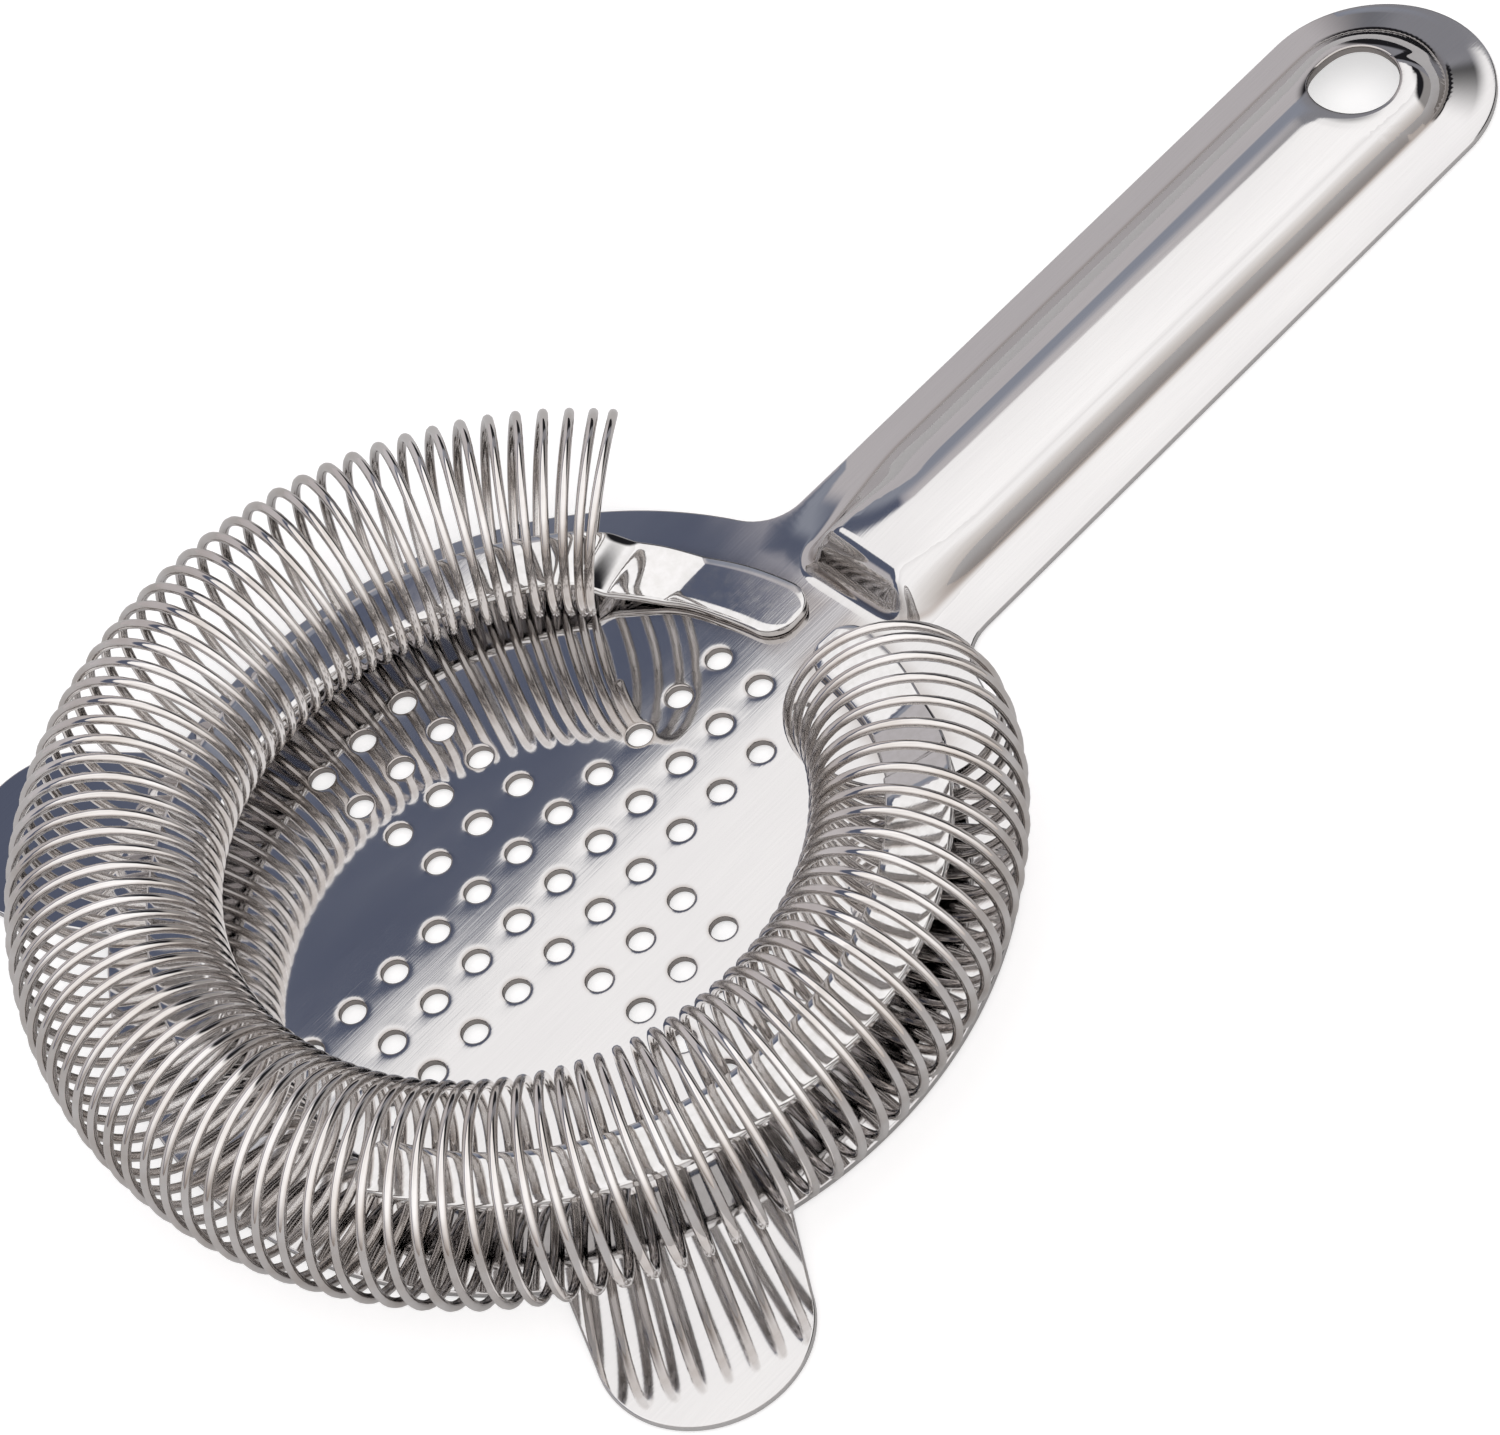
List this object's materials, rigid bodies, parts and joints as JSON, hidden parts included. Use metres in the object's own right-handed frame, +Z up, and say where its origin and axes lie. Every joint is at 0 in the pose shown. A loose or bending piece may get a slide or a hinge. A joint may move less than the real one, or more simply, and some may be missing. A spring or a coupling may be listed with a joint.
{
  "type": "hawthorne strainer",
  "caption": "Bar strainer: a perforated steel disc with two ears and a ribbed handle, and a coil spring ring on two arms that fits a shaker tin.",
  "frame": {"origin": "bottom centre of the bounding box, in the plane of the plate's underside", "axes": "+X from the disc to the end of the handle, +Y to the left when looking along the handle, +Z up, on the coil's side"},
  "size_m": [0.164, 0.098, 0.0193],
  "materials": {
    "plate_steel": "stainless sheet, polished with a fine grain",
    "arm_steel": "mirror polished stainless strip",
    "spring_wire": "bright drawn stainless spring wire"
  },
  "bodies": {
    "plate": {"strainer_plate": "plate_steel", "left_arm": "arm_steel", "right_arm": "arm_steel"},
    "coil": {"coil_spring": "spring_wire"}
  },
  "joints": [
    {"name": "coil_give", "type": "slide", "parent": "plate", "child": "coil", "axis": [1, 0, 0], "range_m": [0, 0.005], "stiffness_N_per_m": 600, "deforming": ["coil_spring"]}
  ]
}
